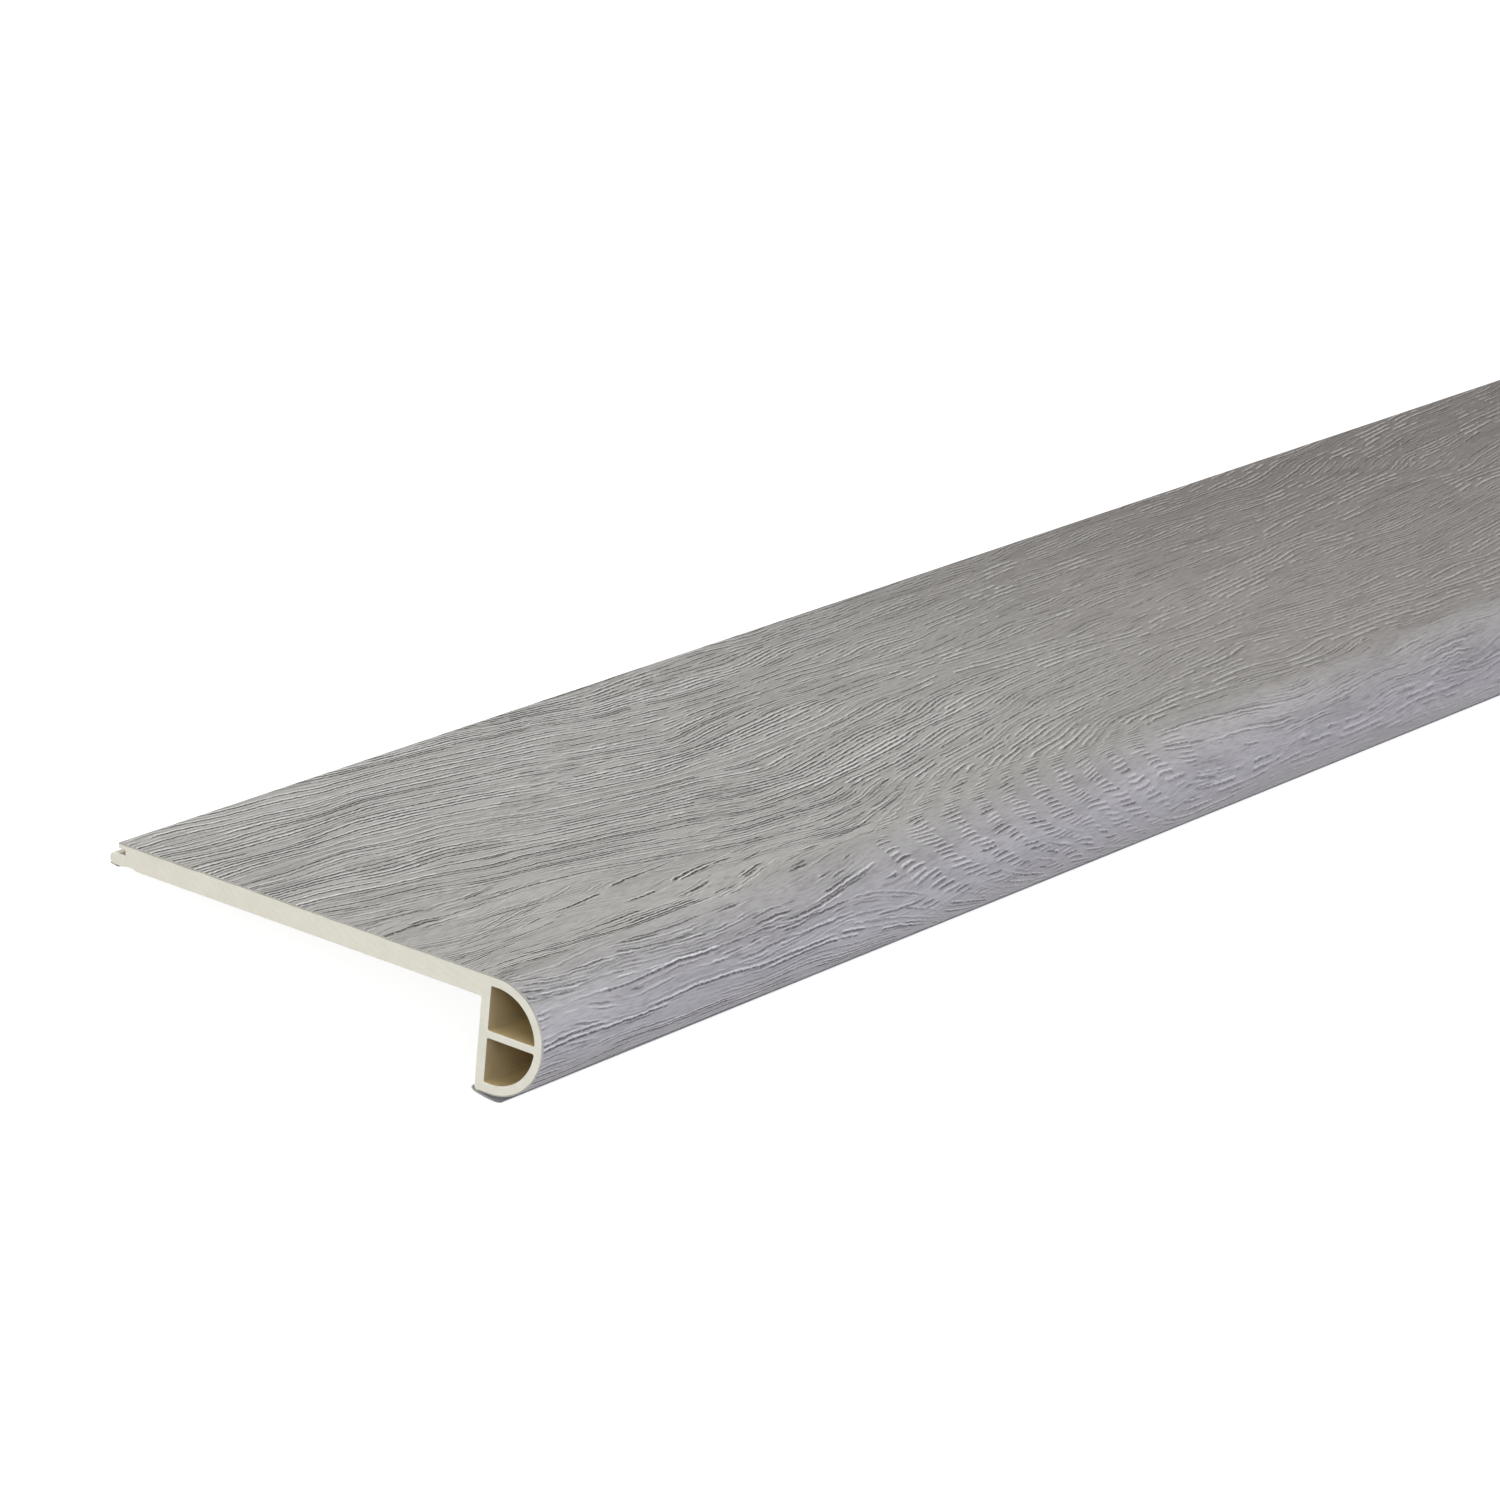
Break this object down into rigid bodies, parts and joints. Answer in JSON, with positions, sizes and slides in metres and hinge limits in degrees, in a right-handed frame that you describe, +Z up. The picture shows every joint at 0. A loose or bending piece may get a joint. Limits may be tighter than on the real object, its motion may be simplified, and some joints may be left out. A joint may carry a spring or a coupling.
{
  "type": "stair tread nosing",
  "caption": "Length of flush stair tread nosing: a thin plate with a hollow half-round front nose and a back click tongue, its top and nose wrapped in grey wood-look film.",
  "frame": {"origin": "on the floor under the middle of the length as it lies, halfway between the front of the nose and the tip of the tongue", "axes": "+X along the length, +Y from the nose towards the click tongue, +Z up; the plate slopes down towards the tongue by 11.5 degrees"},
  "size_m": [1.2, 0.1148, 0.0253],
  "materials": {
    "core": "cream rigid vinyl, extruded, with saw-cut ends",
    "film": "matt grey wood-look print, embossed along the grain"
  },
  "bodies": {
    "root": {"core_profile": "core", "decor_film": "film"}
  },
  "joints": []
}
